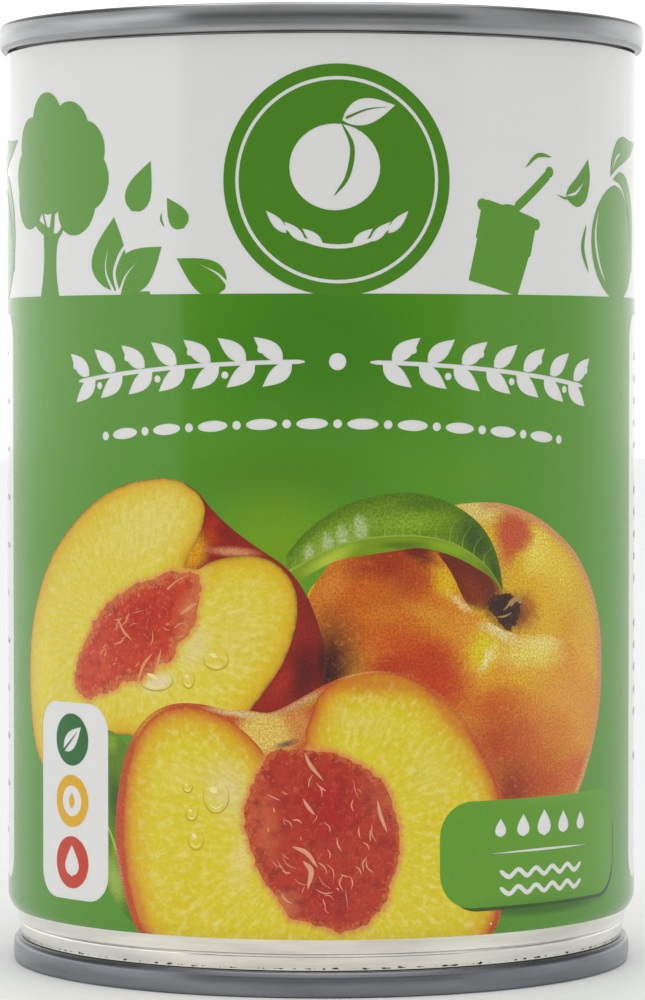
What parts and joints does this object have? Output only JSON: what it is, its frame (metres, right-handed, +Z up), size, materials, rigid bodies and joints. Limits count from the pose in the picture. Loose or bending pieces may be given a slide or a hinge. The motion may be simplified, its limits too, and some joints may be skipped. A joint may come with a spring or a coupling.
{
  "type": "tin can of peach halves",
  "caption": "Sealed cylindrical food can with a seamed end at the top, a necked-in foot that nests on the can below, and a printed paper sleeve.",
  "frame": {"origin": "middle of the ring on which the can stands", "axes": "+Z up along the can's axis, -Y towards the front of the label, +X to the right of someone who faces the front"},
  "size_m": [0.0756, 0.0756, 0.1095],
  "materials": {
    "tinplate": "bright rolled tinplate",
    "seam_tinplate": "rolled and seamed tinplate, satin",
    "label_paper": "colour-printed paper with a gloss varnish"
  },
  "bodies": {
    "root": {"can_body": "tinplate", "top_end": "seam_tinplate", "bottom_end": "seam_tinplate", "label": "label_paper"}
  },
  "joints": []
}
